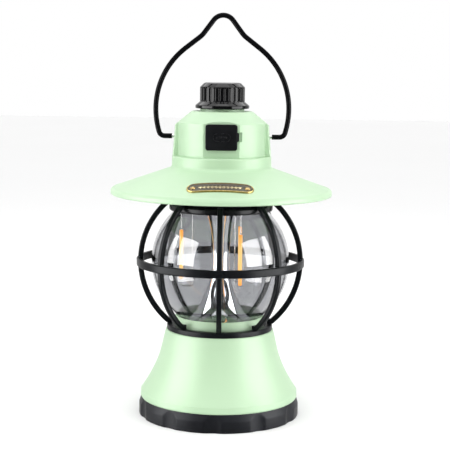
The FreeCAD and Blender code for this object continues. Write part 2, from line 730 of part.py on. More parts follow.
def dimmer_nut():
    corners = [V(*polar(5.6, 60 * i), PLATEAU_Z) for i in range(6)]
    prism = Part.Face(Part.makePolygon(corners + corners[:1])).extrude(V(0, 0, 2.2))
    return prism.cut(tube(3.5, PLATEAU_Z - 1, PLATEAU_Z + 3))


def dimmer_shaft():
    shaft = tube(SHAFT_R, 189.2, 208.0)
    return shaft.cut(box(-4, 4, SHAFT_R - 1.4, 5, 199.6, 210))


def knob():
    """Fluted knob with a flared skirt, hollow below for the dimmer's nut."""
    body = lathe([
        (0, KNOB_BOTTOM + 3.6), (8.5, KNOB_BOTTOM + 3.6), (8.5, KNOB_BOTTOM + 2.0),
        (15.4, KNOB_BOTTOM + 0.6), (15.4, KNOB_BOTTOM),
        (KNOB_SKIRT_R - 0.5, KNOB_BOTTOM), (KNOB_SKIRT_R, KNOB_BOTTOM + 0.5),
        (KNOB_SKIRT_R, KNOB_BOTTOM + 1.5), (KNOB_SKIRT_R - 0.5, KNOB_BOTTOM + 2.2),
        (KNOB_R, 200.4), (KNOB_R, 209.0), (KNOB_R - 0.4, 209.6),
        (11.6, 211.6), (10.6, KNOB_TOP), (0, KNOB_TOP + 0.15),
    ])
    flute_r, reach = 0.95, KNOB_R + 0.25
    groove = tube(flute_r, 201.2, 208.2, x=reach).fuse(Part.makeSphere(flute_r, V(reach, 0, 208.2)))
    groove = groove.fuse(Part.makeSphere(flute_r, V(reach, 0, 201.2)))
    for groove_at in around(groove, [360 / KNOB_FLUTES * (i + 0.5) for i in range(KNOB_FLUTES)]):
        body = body.cut(groove_at)
    bore = tube(SHAFT_R, 190, 208.0).cut(box(-4, 4, SHAFT_R - 1.4, 5, 199.6, 210))
    return body.cut(bore)


def hinge_axis():
    """Where the port cover turns: the middle of its rounded left edge."""
    half = (PORT_COVER_FACE - PORT_COVER_BACK) / 2
    return -PORT_COVER_X + half, -(PORT_COVER_FACE + PORT_COVER_BACK) / 2, half


def port_cover():
    """Rubber flap with a rounded hinge edge, a pad that seals the port recess and a pull tab."""
    hx, hy, half = hinge_axis()
    flap = box(hx, PORT_COVER_X, -PORT_COVER_FACE, -PORT_COVER_BACK, PORT_COVER_LOW, PORT_COVER_HIGH)

    def outer_corner(e):
        return abs(e.tangentAt(e.FirstParameter).y) > 0.9 and e.CenterOfMass.x > 0

    def face_edge(e):
        return abs(e.CenterOfMass.y + PORT_COVER_FACE) < 0.01 and e.CenterOfMass.x > hx + 0.1

    flap = filleted(filleted(flap, 1.6, outer_corner), 0.45, face_edge)
    barrel_start = V(hx, hy, PORT_COVER_LOW + 0.6)
    barrel = Part.makeCylinder(half, PORT_COVER_HIGH - PORT_COVER_LOW - 1.2, barrel_start)
    pad = box(-6.4, 7.9, -PORT_COVER_BACK - 0.1, -FACET_Y + 1.1, 173.0, 185.6)
    tab = box(PORT_COVER_X - 1, 10.9, -PORT_COVER_FACE + 0.4, -PORT_COVER_BACK, 176.6, 182.2)
    tab = filleted(tab, 0.4, lambda e: abs(e.CenterOfMass.x - 10.9) < 0.01)
    return fuse([flap, barrel, pad, tab])


def strap_anchor():
    """The end of the cover's strap, held in a slot in the port face behind the hinge edge."""
    hx, _, half = hinge_axis()
    return box(hx - 0.6, hx + 1.0, -FACET_Y - 0.02, -FACET_Y + 2.8, 175.0, 183.0)


# ---- bail ---------------------------------------------------------------------------------------
def bail():
    """Wire handle: short arms to the pins, bowed legs, and a narrow crook at the top to hang from."""
    right = [(BAIL_END_X, PIVOT_Z), (38.95, PIVOT_Z), (BAIL_X, 188.5), (BAIL_X, 218.95), (13.0, 241.3)]
    radii = [3.6, 51.0, 47.9, 14.0]
    left = [(-x, z) for x, z in reversed(right)]
    path = [V(x, 0, z) for x, z in right + [(0, BAIL_TOP)] + left]
    wire = swept(path, radii + [7.5] + radii[::-1], BAIL_R)
    for side in (-1, 1):
        wire = wire.cut(pin_shaft(side, PIN_R + PIN_FIT, BAIL_END_X - 1, BAIL_END_X + 4.2))
    return wire


def pin_shaft(side, r, near, far):
    """A rod along the bail's axis, from near to far outwards on one side."""
    return Part.makeCylinder(r, far - near, V(side * near, 0, PIVOT_Z), X_AXIS * side)


def bail_pin(side):
    """Steel pin pressed outwards through an ear, with its head inside the neck."""
    head = pin_shaft(side, 2.0, 24.6, 25.6)
    return head.fuse(pin_shaft(side, PIN_R, 25.6, BAIL_END_X + 3.8))


# ---- write --------------------------------------------------------------------------------------
def nodes():
    made = {
        "foot_ring": foot_ring(),
        "bottom_cover": bottom_cover(),
        "bottom_cover_screws": bottom_cover_screws(),
        "base_shell": base_shell(),
        "globe_collar": globe_collar(),
        "battery_cell_front": battery_cell(-1),
        "battery_cell_rear": battery_cell(1),
        "battery_cradle": battery_cradle(),
        "battery_board": battery_board(),
        "battery_lead_positive": battery_lead(-1),
        "battery_lead_negative": battery_lead(1),
        "cage_lower_ring": cage_lower_ring(),
        "cage_upper_ring": cage_upper_ring(),
        "cage_equator_ring": cage_equator_ring(),
        "cage_screws": cage_screws(),
        "glass_globe": glass_globe(),
        "reflector": reflector(),
        "lower_gasket": lower_gasket(),
        "upper_gasket": upper_gasket(),
        "filament_carrier": filament_carrier(),
        "globe_cap": globe_cap(),
        "hood_screws": hood_screws(),
        "brim": brim(),
        "neck_housing": neck_housing(),
        "nameplate": nameplate(),
        "nameplate_rivets": nameplate_rivets(),
        "control_board": control_board(),
        "usb_a_socket": usb_a_socket(),
        "usb_c_socket": usb_c_socket(),
        "dimmer_body": dimmer_body(),
        "dimmer_nut": dimmer_nut(),
        "dimmer_shaft": dimmer_shaft(),
        "knob": knob(),
        "port_cover": port_cover(),
        "port_cover_strap": strap_anchor(),
        "bail_pin_left": bail_pin(-1),
        "bail_pin_right": bail_pin(1),
        "bail": bail(),
    }
    for i in range(RIBS):
        made[f"cage_rib_{i + 1}"] = cage_rib(-90 + i * 360 / RIBS, made["cage_equator_ring"])
    for i in range(FILAMENTS):
        made[f"filament_{i + 1}"] = filament(i)
        made[f"filament_leads_{i + 1}"] = filament_leads(i)
    return made


os.makedirs("parts", exist_ok=True)
for name, shape in nodes().items():
    volume = sum(solid.Volume for solid in shape.Solids)
    print(f"{name:24s} solids {len(shape.Solids)} valid {shape.isValid()} volume {volume:10.1f}")
    shape.exportStep(f"parts/{name}.step")
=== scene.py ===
"""Camping lantern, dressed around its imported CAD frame.

Frame: metres, +Z up, origin at the middle of the foot's underside, front (port cover, nameplate) towards -Y.
Outlines are in millimetres: (radius, height, corner radius).
"""
import math
import bmesh
import bpy
from mathutils import Matrix, Vector

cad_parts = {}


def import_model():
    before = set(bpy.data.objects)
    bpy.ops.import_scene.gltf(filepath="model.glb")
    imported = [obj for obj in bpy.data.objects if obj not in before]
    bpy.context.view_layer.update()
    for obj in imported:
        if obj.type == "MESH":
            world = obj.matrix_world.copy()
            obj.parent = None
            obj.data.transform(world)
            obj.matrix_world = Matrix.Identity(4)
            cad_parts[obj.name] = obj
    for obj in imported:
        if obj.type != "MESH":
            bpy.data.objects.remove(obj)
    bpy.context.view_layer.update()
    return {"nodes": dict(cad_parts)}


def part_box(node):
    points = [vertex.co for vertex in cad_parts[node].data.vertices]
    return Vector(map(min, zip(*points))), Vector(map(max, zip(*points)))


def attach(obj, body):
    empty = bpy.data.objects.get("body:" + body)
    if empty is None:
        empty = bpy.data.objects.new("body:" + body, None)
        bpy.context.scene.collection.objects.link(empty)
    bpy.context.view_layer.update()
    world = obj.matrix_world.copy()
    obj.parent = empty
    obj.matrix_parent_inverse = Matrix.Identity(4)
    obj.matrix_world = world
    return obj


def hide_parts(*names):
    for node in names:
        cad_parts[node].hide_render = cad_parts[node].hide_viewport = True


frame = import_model()

MM = 0.001
TURNS = 192                     # columns of a turned piece
ARC_STEP = math.radians(15)     # facets of a rounded corner
SIDE_SHARE = 0.48               # most of a side that one corner's rounding may use


def place(node):
    """Lowest and highest corner of a CAD node, in millimetres."""
    low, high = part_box(node)
    return low / MM, high / MM


def reach(node):
    """Largest distance of a CAD node from the axis, in millimetres."""
    return max(math.hypot(v.co.x, v.co.y) for v in frame["nodes"][node].data.vertices) / MM


# ---- dimensions, from the frame ---------------------------------------------------------------------
FOOT_R, FOOT_TOP = reach("foot_ring"), place("base_shell")[0].z + 8.0
GLOBE_LOW, GLOBE_HIGH = place("glass_globe")
GLOBE_R = reach("glass_globe")
BELT_LOW, BELT_HIGH = place("cage_equator_ring")
BELT_R = reach("cage_equator_ring")
GLOBE_Z = (BELT_LOW.z + BELT_HIGH.z) / 2
CAGE_R = reach("cage_lower_ring")
COLLAR_LOW, COLLAR_HIGH = place("globe_collar")
CAP_LOW, CAP_HIGH = place("globe_cap")
CAP_R = reach("globe_cap")
KNOB_LOW, KNOB_HIGH = place("knob")
KNOB_SKIRT_R = reach("knob")
COVER_LOW, COVER_HIGH = place("port_cover")
PLATE_LOW, PLATE_HIGH = place("nameplate")
BRIM_ROOT, BRIM_EDGE = (33.6, 158.1), (67.2, 146.2)
SLOPE = math.atan2(BRIM_ROOT[1] - BRIM_EDGE[1], BRIM_EDGE[0] - BRIM_ROOT[0])


# ---- meshes -----------------------------------------------------------------------------------------
def rounded(outline):
    """Points of a closed (r, z, corner radius) outline, each corner rounded as far as its sides allow."""
    points = []
    count = len(outline)
    for i, (r, z, fillet) in enumerate(outline):
        corner = Vector((r, z))
        back = Vector(outline[i - 1][:2]) - corner
        ahead = Vector(outline[(i + 1) % count][:2]) - corner
        turn = math.pi - back.angle(ahead)
        if fillet <= 0 or turn < 0.03:
            points.append(corner)
            continue
        setback = min(fillet * math.tan(turn / 2), SIDE_SHARE * back.length, SIDE_SHARE * ahead.length)
        radius = setback / math.tan(turn / 2)
        back.normalize()
        ahead.normalize()
        centre = corner + (back + ahead).normalized() * (radius / math.cos(turn / 2))
        start, end = corner + back * setback - centre, corner + ahead * setback - centre
        sweep = math.copysign(turn, start.x * end.y - start.y * end.x)
        steps = max(2, math.ceil(turn / ARC_STEP))
        for k in range(steps + 1):
            c, s = math.cos(sweep * k / steps), math.sin(sweep * k / steps)
            points.append(centre + Vector((start.x * c - start.y * s, start.x * s + start.y * c)))
    return points


def arc_points(centre_z, radius, low_deg, high_deg, steps):
    """(r, z, 0) points on a circle about the axis' point at centre_z, between two latitudes."""
    angles = [math.radians(low_deg + (high_deg - low_deg) * k / steps) for k in range(steps + 1)]
    return [(radius * math.cos(a), centre_z + radius * math.sin(a), 0) for a in angles]


def softer(a, b, blend):
    """The smaller of two numbers, eased over where they meet."""
    return (a + b - math.sqrt((a - b) ** 2 + blend ** 2)) / 2


def mesh_object(name, points, faces, sharp_deg=35):
    """A shaded object from points in millimetres, its normals facing out."""
    mesh = bpy.data.meshes.new(name)
    mesh.from_pydata([(x * MM, y * MM, z * MM) for x, y, z in points], [], faces)
    work = bmesh.new()
    work.from_mesh(mesh)
    bmesh.ops.remove_doubles(work, verts=work.verts, dist=1e-7)
    bmesh.ops.recalc_face_normals(work, faces=work.faces)
    work.to_mesh(mesh)
    work.free()
    mesh.shade_smooth()
    mesh.set_sharp_from_angle(angle=math.radians(sharp_deg))
    obj = bpy.data.objects.new(name, mesh)
    bpy.context.scene.collection.objects.link(obj)
    return obj


def lathe(name, outline, shape=None, columns=TURNS, sharp_deg=35, centre=(0, 0)):
    """Turns an outline about an upright axis. shape(r, z, angle) may move a point in or out."""
    profile = rounded(outline)
    rows, points, faces = len(profile), [], []
    for k in range(columns):
        angle = 2 * math.pi * k / columns
        for r, z in profile:
            radius = shape(r, z, angle) if shape else r
            points.append((centre[0] + radius * math.cos(angle), centre[1] + radius * math.sin(angle), z))
    for k in range(columns):
        here, beyond = k * rows, (k + 1) % columns * rows
        for i in range(rows):
            j = (i + 1) % rows
            ring = [here + i, beyond + i, beyond + j, here + j]
            if profile[i].x < 1e-6 and profile[j].x < 1e-6:
                continue
            if profile[i].x < 1e-6:
                ring = [here + i, beyond + j, here + j]
            elif profile[j].x < 1e-6:
                ring = [here + i, beyond + i, here + j]
            faces.append(ring)
    return mesh_object(name, points, faces, sharp_deg)


def between(a, b, steps):
    """Points from a to b, without b, as sharp outline corners."""
    return [(a[0] + (b[0] - a[0]) * k / steps, a[1] + (b[1] - a[1]) * k / steps, 0) for k in range(steps)]


def stacked(loops, points, faces, close_low=True, close_high=True):
    """Adds a skin through loops of equal length, with flat ends."""
    start, size = len(points), len(loops[0])
    for loop in loops:
        points.extend(loop)
    for i in range(len(loops) - 1):
        for k in range(size):
            a, b = start + i * size + k, start + i * size + (k + 1) % size
            faces.append([a, b, b + size, a + size])
    if close_low:
        faces.append([start + k for k in range(size)])
    if close_high:
        faces.append([start + (len(loops) - 1) * size + k for k in range(size)])


def inset(loop, distance):
    """Moves a closed 2D loop inwards."""
    count = len(loop)
    area = sum(loop[k - 1].x * loop[k].y - loop[k].x * loop[k - 1].y for k in range(count))
    moved = []
    for k in range(count):
        along = (loop[(k + 1) % count] - loop[k - 1]).normalized()
        inwards = Vector((-along.y, along.x)) * (1 if area > 0 else -1)
        moved.append(loop[k] + inwards * distance)
    return moved


def pad(outline, front, back, front_edge, back_edge, points, faces):
    """Adds a flat pad facing -Y: an (x, z, corner radius) outline with rounded front and back edges."""
    flat = rounded(outline)
    levels = []
    for k in range(5):
        a = math.radians(90 * k / 4)
        levels.append((back_edge * (1 - math.sin(a)), back - back_edge * (1 - math.cos(a))))
    for k in range(5):
        a = math.radians(90 * k / 4)
        levels.append((front_edge * (1 - math.cos(a)), front + front_edge * (1 - math.sin(a))))
    loops = [[(p.x, y, p.y) for p in inset(flat, by)] for by, y in levels]
    stacked(loops, points, faces)


# ---- materials --------------------------------------------------------------------------------------
class Surface:
    """One procedural material: a Principled shader and the noise that varies it."""

    def __init__(self, name, **sockets):
        self.material = bpy.data.materials.new(name)
        self.material.use_nodes = True
        self.tree = self.material.node_tree
        self.shader = self.tree.nodes["Principled BSDF"]
        for socket, value in sockets.items():
            self.shader.inputs[socket.replace("_", " ")].default_value = value
        self.coords = self.node("ShaderNodeTexCoord").outputs["Object"]

    def node(self, kind, **values):
        made = self.tree.nodes.new(kind)
        for key, value in values.items():
            setattr(made, key, value)
        return made

    def link(self, a, b):
        self.tree.links.new(a, b)

    def noise(self, scale, detail=3.0, stretch=(1, 1, 1), rough=0.5):
        """Noise in the object's own space. scale is features per metre."""
        mapping = self.node("ShaderNodeMapping")
        mapping.inputs["Scale"].default_value = stretch
        self.link(self.coords, mapping.inputs["Vector"])
        made = self.node("ShaderNodeTexNoise")
        made.inputs["Scale"].default_value = scale
        made.inputs["Detail"].default_value = detail
        made.inputs["Roughness"].default_value = rough
        self.link(mapping.outputs["Vector"], made.inputs["Vector"])
        return made.outputs["Fac"]

    def spread(self, source, low, high, start=0.3, end=0.7):
        """Maps a 0..1 source to low..high."""
        made = self.node("ShaderNodeMapRange")
        made.inputs["From Min"].default_value = start
        made.inputs["From Max"].default_value = end
        made.inputs["To Min"].default_value = low
        made.inputs["To Max"].default_value = high
        self.link(source, made.inputs["Value"])
        return made.outputs["Result"]

    def blend(self, source, low, high, start=0.3, end=0.7):
        """Mixes two colours by a source."""
        made = self.node("ShaderNodeMix", data_type="RGBA")
        made.inputs[6].default_value = (*low, 1)
        made.inputs[7].default_value = (*high, 1)
        self.link(self.spread(source, 0, 1, start, end), made.inputs[0])
        return made.outputs[2]

    def colour(self, source, low, high, start=0.3, end=0.7):
        self.link(self.blend(source, low, high, start, end), self.shader.inputs["Base Color"])
        return self

    def roughness(self, source, low, high, start=0.3, end=0.7):
        self.link(self.spread(source, low, high, start, end), self.shader.inputs["Roughness"])
        return self

    def bump(self, source, height_mm, strength=1.0):
        """Adds relief; several calls stack."""
        made = self.node("ShaderNodeBump")
        made.inputs["Strength"].default_value = strength
        made.inputs["Distance"].default_value = height_mm * MM
        self.link(source, made.inputs["Height"])
        normal = self.shader.inputs["Normal"]
        if normal.links:
            self.link(normal.links[0].from_socket, made.inputs["Normal"])
        self.link(made.outputs["Normal"], normal)
        return self


def plain(name, dark, light, rough, patch=60, grain=1400, relief=0.01, **sockets):
    """A finish with a soft tonal drift, uneven gloss and a fine grain."""
    made = Surface(name, **sockets)
    made.colour(made.noise(patch, 4), dark, light)
    made.roughness(made.noise(patch * 3, 5), rough[0], rough[1])
    made.bump(made.noise(grain, 2), relief)
    return made


def glass_material():
    """Smoke-tinted glass. Shadow rays see a plain tint, so that light gets inside the globe."""
    made = Surface("clear_glass_look", Base_Color=(0.53, 0.535, 0.55, 1), IOR=1.5, Transmission_Weight=1.0,
                   Specular_IOR_Level=0.75)
    made.roughness(made.noise(90, 4), 0.0, 0.012)
    made.bump(made.noise(38, 1), 0.02, 0.5)
    clear = made.node("ShaderNodeBsdfTransparent")
    clear.inputs["Color"].default_value = (0.72, 0.72, 0.73, 1)
    path = made.node("ShaderNodeLightPath")
    mix = made.node("ShaderNodeMixShader")
    made.link(path.outputs["Is Shadow Ray"], mix.inputs[0])
    made.link(made.shader.outputs[0], mix.inputs[1])
    made.link(clear.outputs[0], mix.inputs[2])
    output = [n for n in made.tree.nodes if n.type == "OUTPUT_MATERIAL"][0]
    made.link(mix.outputs[0], output.inputs["Surface"])
    return made


def filament_material():
    """Warm coated rod, deeper orange towards its ends, with a little light of its own."""
    made = Surface("filament_look", Roughness=0.45)
    split = made.node("ShaderNodeSeparateXYZ")
    made.link(made.coords, split.inputs[0])
    low, high = place("filament_1")
    middle, half = (low.z + high.z) / 2 * MM, (high.z - low.z) / 2 * MM
    off = made.node("ShaderNodeMath", operation="SUBTRACT")
    off.inputs[1].default_value = middle
    made.link(split.outputs["Z"], off.inputs[0])
    distance = made.node("ShaderNodeMath", operation="ABSOLUTE")
    made.link(off.outputs[0], distance.inputs[0])
    wobble = made.node("ShaderNodeMath", operation="MULTIPLY_ADD")
    wobble.inputs[1].default_value = 0.004
    made.link(made.noise(500), wobble.inputs[0])
    made.link(distance.outputs[0], wobble.inputs[2])
    fade = wobble.outputs[0]
    tone = made.blend(fade, (1.0, 0.60, 0.20), (1.0, 0.36, 0.04), half * 0.55, half * 1.05)
    made.link(tone, made.shader.inputs["Base Color"])
    made.link(tone, made.shader.inputs["Emission Color"])
    made.shader.inputs["Emission Strength"].default_value = 1.5
    made.bump(made.noise(1800, 3), 0.03)
    return made


def build_materials():
    """Finish of each slot: two tones, roughness range, patches and grain per metre, relief in mm."""
    looks = {
        "mint_shell": plain(
            "mint_paint", (0.458, 0.645, 0.428), (0.480, 0.665, 0.450),
            (0.36, 0.43), 25, 900, 0.004, Specular_IOR_Level=0.25),
        "black_cage": plain(
            "cage_coat", (0.004, 0.0048, 0.0058), (0.007, 0.0082, 0.010),
            (0.26, 0.36), 70, 1500, 0.002, Specular_IOR_Level=0.08),
        "black_wire": plain(
            "wire_coat", (0.003, 0.003, 0.0035), (0.005, 0.005, 0.006),
            (0.13, 0.18), 90, 1500, 0.0003, Specular_IOR_Level=0.035),
        "black_knob": plain(
            "knob_plastic", (0.002, 0.002, 0.0024), (0.0035, 0.0035, 0.004),
            (0.08, 0.13), 90, 1800, 0.0002, Specular_IOR_Level=0.16),
        "black_cap": plain(
            "cap_plastic", (0.004, 0.0045, 0.005), (0.007, 0.0075, 0.009),
            (0.22, 0.32), 60, 1500, 0.0015, Specular_IOR_Level=0.12),
        "black_cover": plain(
            "cover_plastic", (0.010, 0.010, 0.011), (0.018, 0.018, 0.019),
            (0.45, 0.6), 60, 1300, 0.03),
        "foot_rubber": plain(
            "foot_rubber_look", (0.008, 0.0085, 0.011), (0.012, 0.013, 0.016),
            (0.36, 0.46), 50, 1300, 0.004, Specular_IOR_Level=0.11),
        "cover_rubber": plain(
            "flap_rubber", (0.004, 0.0043, 0.0055), (0.006, 0.0065, 0.008),
            (0.42, 0.54), 90, 1600, 0.003, Specular_IOR_Level=0.07),
        "seal_rubber": plain(
            "seal_rubber_look", (0.02, 0.02, 0.02), (0.035, 0.035, 0.035),
            (0.6, 0.75), 90, 1200, 0.03),
        "clear_glass": glass_material(),
        "bright_reflector": plain(
            "chrome", (0.86, 0.87, 0.88), (0.93, 0.93, 0.94),
            (0.03, 0.08), 50, 300, 0.006, Metallic=1.0),
        "carrier": plain(
            "white_plastic", (0.72, 0.72, 0.70), (0.80, 0.80, 0.78),
            (0.4, 0.5), 60, 1200, 0.01),
        "filament": filament_material(),
        "bright_wire": plain(
            "nickel_wire", (0.62, 0.60, 0.57), (0.75, 0.74, 0.72),
            (0.15, 0.3), 300, 2500, 0.004, Metallic=1.0),
        "nameplate_brass": plain(
            "plate_field", (0.030, 0.024, 0.016), (0.055, 0.042, 0.026),
            (0.35, 0.55), 200, 1500, 0.03, Metallic=0.4),
        "rivet_brass": plain(
            "aged_brass", (0.14, 0.10, 0.045), (0.36, 0.26, 0.11),
            (0.25, 0.42), 900, 1500, 0.01, Metallic=1.0),
        "steel": plain(
            "bright_steel", (0.50, 0.50, 0.50), (0.64, 0.64, 0.63),
            (0.2, 0.35), 300, 2200, 0.006, Metallic=1.0),
        "cell_wrap": plain(
            "cell_sleeve", (0.05, 0.16, 0.42), (0.07, 0.20, 0.50),
            (0.25, 0.35), 100, 900, 0.01),
        "circuit_board": plain(
            "board_mask", (0.010, 0.075, 0.03), (0.02, 0.11, 0.045),
            (0.3, 0.5), 700, 1500, 0.03),
        "cradle_plastic": plain(
            "cradle_look", (0.03, 0.03, 0.03), (0.05, 0.05, 0.05),
            (0.45, 0.6), 60, 1200, 0.02),
        "lead_red": plain(
            "red_insulation", (0.42, 0.015, 0.01), (0.55, 0.03, 0.02),
            (0.35, 0.5), 200, 1500, 0.01),
        "lead_black": plain(
            "black_insulation", (0.012, 0.012, 0.012), (0.02, 0.02, 0.02),
            (0.35, 0.5), 200, 1500, 0.01),
        "socket_steel": plain(
            "socket_shell", (0.55, 0.55, 0.56), (0.68, 0.68, 0.68),
            (0.18, 0.3), 300, 2200, 0.005, Metallic=1.0),
        "dimmer_case": plain(
            "dimmer_look", (0.05, 0.05, 0.055), (0.09, 0.09, 0.095),
            (0.4, 0.5), 200, 1500, 0.02),
    }
    return {slot: look.material for slot, look in looks.items()}


LOOKS = build_materials()
PLATE_RIM = plain(
    "plate_rim", (0.26, 0.19, 0.07), (0.48, 0.36, 0.14),
    (0.24, 0.40), 700, 1500, 0.006, Metallic=1.0).material
PLATE_GOLD = plain(
    "plate_ornament", (0.52, 0.43, 0.26), (0.70, 0.60, 0.38),
    (0.22, 0.36), 900, 1500, 0.004, Metallic=1.0).material
MARK_GLOSS = plain(
    "mark_rubber", (0.006, 0.0065, 0.008), (0.009, 0.0095, 0.012),
    (0.22, 0.32), 200, 1600, 0.002, Specular_IOR_Level=0.35).material
for node in frame["nodes"].values():
    for held in node.material_slots:
        held.material = LOOKS[held.material.name.split(".")[0]]


def show(obj, slot, *nodes, body="root"):
    """Dresses a new piece: its body, its slot and the CAD nodes that it stands for."""
    if not obj.data.materials:
        obj.data.materials.append(LOOKS[slot])
    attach(obj, body)
    if nodes:
        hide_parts(*nodes)
    return obj


# ---- base -------------------------------------------------------------------------------------------
def foot():
    """Rubber foot: wide bevel, and finger scoops whose tops arch into the bevel."""
    scoops, first, scoop_r, depth = 11, math.radians(-93.1), 14.6, 1.3
    far = FOOT_R - depth + scoop_r
    skin_r = 48.5
    step = 2 * math.pi / scoops

    def scooped(r, z, angle):
        if r < skin_r:
            return r
        off = (angle - first + step / 2) % step - step / 2
        inside = scoop_r ** 2 - (far * math.sin(off)) ** 2
        if inside <= 0:
            return r
        return softer(r, far * math.cos(off) - math.sqrt(inside), 0.1)

    bevel_low, bevel_high = (FOOT_R, 7.4), (49.8, FOOT_TOP)
    outline = [(45.0, 0.0, 0.4), (FOOT_R, 0.0, 0.9), (FOOT_R, 7.0, 0)]
    outline += between(bevel_low, bevel_high, 14)
    outline += [(49.8, FOOT_TOP, 0), (49.5, FOOT_TOP, 0), (47.8, FOOT_TOP, 0.2), (47.8, 14.0, 0.3)]
    outline += [(46.4, 14.0, 0.3), (46.4, 9.6, 0.2), (45.0, 9.6, 0.4)]
    return lathe("foot", outline, scooped, scoops * 36, 28)


show(foot(), "foot_rubber", "foot_ring")


def collar():
    """Cup on the deck, its lip rounded."""
    bottom, top, deck = COLLAR_LOW.z, COLLAR_HIGH.z, 55.5
    under_floor, on_floor = 57.1, 58.9
    outline = [(4.0, under_floor, 0.2), (23.9, under_floor, 0.2), (23.9, bottom, 0.2), (25.95, bottom, 0.2)]
    outline += [(25.95, deck, 0), (28.5, deck, 0), (28.5, top, 0.8), (27.5, top, 0.4), (27.0, 63.3, 0.3)]
    outline += [(27.0, on_floor, 0.3), (4.0, on_floor, 0.3)]
    return lathe("collar", outline)


show(collar(), "mint_shell", "globe_collar")


# ---- cage -------------------------------------------------------------------------------------------
def cage_ring(name, low, high, soft_low, soft_high):
    """Flat hoop that the ribs end on."""
    outline = [(29.7, low, 0.3), (CAGE_R, low, soft_low), (CAGE_R, high, soft_high), (29.7, high, 0.3)]
    return lathe(name, outline, sharp_deg=50)


for ring_name, soft in (("cage_lower_ring", (0.25, 0.8)), ("cage_upper_ring", (0.8, 0.25))):
    ring_low, ring_high = place(ring_name)
    hoop = cage_ring(ring_name.replace("ring", "hoop"), ring_low.z, ring_high.z, *soft)
    show(hoop, "black_cage", ring_name)


def belt():
    """Hoop round the widest part of the cage."""
    inner_r, low, high = 50.9, BELT_LOW.z, BELT_HIGH.z
    outline = [(inner_r, low, 0.5), (BELT_R, low, 0.9), (BELT_R, high, 0.9), (inner_r, high, 0.5)]
    return lathe("cage_belt", outline, sharp_deg=50)


show(belt(), "black_cage", "cage_equator_ring")


# ---- globe and light --------------------------------------------------------------------------------
def globe():
    """Blown globe with a soft shoulder at each neck and fire-polished rims."""
    wall = 2.0
    foot_r, neck_r = 26.5, 28.2
    blend = 1.6

    def wall_side(radius, low_r, high_r):
        low_at = -math.degrees(math.acos(low_r / radius))
        high_at = math.degrees(math.acos(high_r / radius))
        arc = arc_points(GLOBE_Z, radius, low_at + blend, high_at - blend, 60)
        low_corner = (low_r, GLOBE_Z + radius * math.sin(math.radians(low_at)), 2.0)
        high_corner = (high_r, GLOBE_Z + radius * math.sin(math.radians(high_at)), 2.0)
        return [(low_r, GLOBE_LOW.z, 0.9), low_corner] + arc + [high_corner, (high_r, GLOBE_HIGH.z, 0.9)]

    outside = wall_side(GLOBE_R, foot_r, neck_r)
    inside = wall_side(GLOBE_R - wall, foot_r - wall, neck_r - wall)
    return lathe("globe", outside + inside[::-1], sharp_deg=60)


show(globe(), "clear_glass", "glass_globe")


def filament(index):
    """Coated rod with a bare metal tip at each end."""
    low, high = place(f"filament_{index}")
    bare, shoulder = 0.9, 0.3
    tip_r, rod_r = 0.55, 1.15
    outline = [(0, low.z, 0), (tip_r, low.z, 0.2), (tip_r, low.z + bare, 0.1)]
    outline += [(rod_r, low.z + bare + shoulder, 0.6), (rod_r, high.z - bare - shoulder, 0.6)]
    outline += [(tip_r, high.z - bare, 0.1), (tip_r, high.z, 0.2), (0, high.z, 0)]
    made = lathe(f"filament_rod_{index}", outline, columns=24,
                 centre=((low.x + high.x) / 2, (low.y + high.y) / 2))
    made.data.materials.append(LOOKS["filament"])
    made.data.materials.append(LOOKS["bright_wire"])
    for face in made.data.polygons:
        z = face.center.z / MM
        face.material_index = int(z < low.z + bare or z > high.z - bare)
    return made


for number in (1, 2, 3):
    show(filament(number), "filament", f"filament_{number}")


def cap():
    """Cap over the globe's upper neck, with a tube that runs up into the brim."""
    low, high, wall = CAP_LOW.z, CAP_HIGH.z, 2
    outline = [(6.0, 135.0, 0.3), (30.3, 135.0, 0.1), (30.3, low, 0.2), (CAP_R, low, 1.3)]
    outline += [(CAP_R, 134.9, 0.9), (31.0, 136.8, 0.3), (29.5, 136.8, 0.2), (29.5, high, 0.3)]
    outline += [(18.0, high, 0.3), (18.0, high - wall, 0.3), (27.3, high - wall, 0.5)]
    outline += [(27.3, 137.0, 0.5), (6.0, 137.0, 0.3)]
    return lathe("cap", outline)


show(cap(), "black_cap", "globe_cap")


# ---- knob -------------------------------------------------------------------------------------------
def knob():
    """Fluted knob with a flared skirt, hollow below."""
    grip_r, flutes, groove_r, low, high = 14.1, 28, 0.95, 201.2, 208.2
    centre_r = grip_r + 0.25
    skin_r, skin_low, skin_high = 13.4, 200, 209.3
    step = 2 * math.pi / flutes

    def fluted(r, z, angle):
        if r < skin_r or z < skin_low or z > skin_high:
            return r
        off = angle % step - step / 2
        past_end = max(0, low - z, z - high)
        inside = groove_r ** 2 - past_end ** 2 - (centre_r * math.sin(off)) ** 2
        if inside <= 0:
            return r
        return softer(r, centre_r * math.cos(off) - math.sqrt(inside), 0.05)

    bottom, top = KNOB_LOW.z, KNOB_HIGH.z
    wall_low, wall_high = (grip_r, 200.3), (grip_r, 209.1)
    outline = [(0, bottom + 3.6, 0), (8.5, bottom + 3.6, 0.2), (8.5, bottom + 2.0, 0.2)]
    outline += [(15.4, bottom + 0.6, 0.2), (15.4, bottom, 0.2), (KNOB_SKIRT_R, bottom, 0.6)]
    outline += [(KNOB_SKIRT_R, bottom + 1.9, 0.8), (14.9, bottom + 3.6, 1.5), (grip_r, 200.2, 0)]
    outline += between(wall_low, (grip_r, low), 9) + between((grip_r, low), (grip_r, high), 4)
    outline += between((grip_r, high), wall_high, 9)
    outline += [(grip_r, 209.1, 0), (13.8, 209.5, 0.3), (11.7, 211.6, 0.6)]
    outline += [(10.6, top - 0.15, 0.4), (0, top, 0)]
    return lathe("knob_cap", outline, fluted, flutes * 16)


show(knob(), "black_knob", "knob", body="knob")


